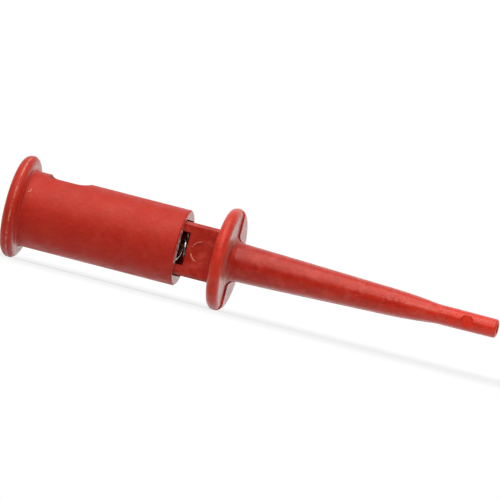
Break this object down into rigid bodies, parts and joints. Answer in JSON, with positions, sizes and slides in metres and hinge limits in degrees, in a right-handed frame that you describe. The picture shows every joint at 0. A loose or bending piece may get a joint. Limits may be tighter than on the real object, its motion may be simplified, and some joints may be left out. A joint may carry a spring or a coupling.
{
  "type": "plunger test clip",
  "caption": "Spring-loaded plunger test clip: pressing the thumb flange pushes a pair of gold-plated pincers out of the nose tip to grip a fine component lead.",
  "frame": {"origin": "centre of the wire hole at the rear thumb face", "axes": "+X along the clip towards the nose tip, +Z towards the solder window in the sleeve, stem flats facing +Y and -Y"},
  "size_m": [0.048, 0.0098, 0.0098],
  "materials": {
    "nose_nylon": "moulded red nylon, semi-gloss",
    "sleeve_nylon": "moulded red nylon, fine satin texture",
    "spring_steel": "bright drawn stainless spring wire",
    "terminal_brass": "turned brass, lightly plated",
    "pincer_gold": "gold-plated spring strip"
  },
  "bodies": {
    "nose": {"nose_body": "nose_nylon"},
    "plunger": {"plunger_sleeve": "sleeve_nylon", "return_spring": "spring_steel", "solder_terminal": "terminal_brass", "upper_pincer_shank": "pincer_gold", "lower_pincer_shank": "pincer_gold"},
    "upper_jaw_body": {"upper_jaw": "pincer_gold"},
    "lower_jaw_body": {"lower_jaw": "pincer_gold"}
  },
  "joints": [
    {"name": "plunger_slide", "type": "slide", "parent": "nose", "child": "plunger", "axis": [1, 0, 0], "range_m": [0, 0.0035], "stiffness_N_per_m": 450, "springref_m": -0.0025, "deforming": ["return_spring"]},
    {"name": "upper_jaw_open", "type": "hinge", "parent": "plunger", "child": "upper_jaw_body", "pos_m": [0.0455, 0, 0.0003], "axis": [0, -1, 0], "range_deg": [0, 14]},
    {"name": "lower_jaw_open", "type": "hinge", "parent": "plunger", "child": "lower_jaw_body", "pos_m": [0.0455, 0, -0.0003], "axis": [0, 1, 0], "range_deg": [0, 14]}
  ],
  "couplings": [
    {"joint": "upper_jaw_open", "follows": "plunger_slide", "rad_per_m": 69.8},
    {"joint": "lower_jaw_open", "follows": "plunger_slide", "rad_per_m": 69.8}
  ]
}
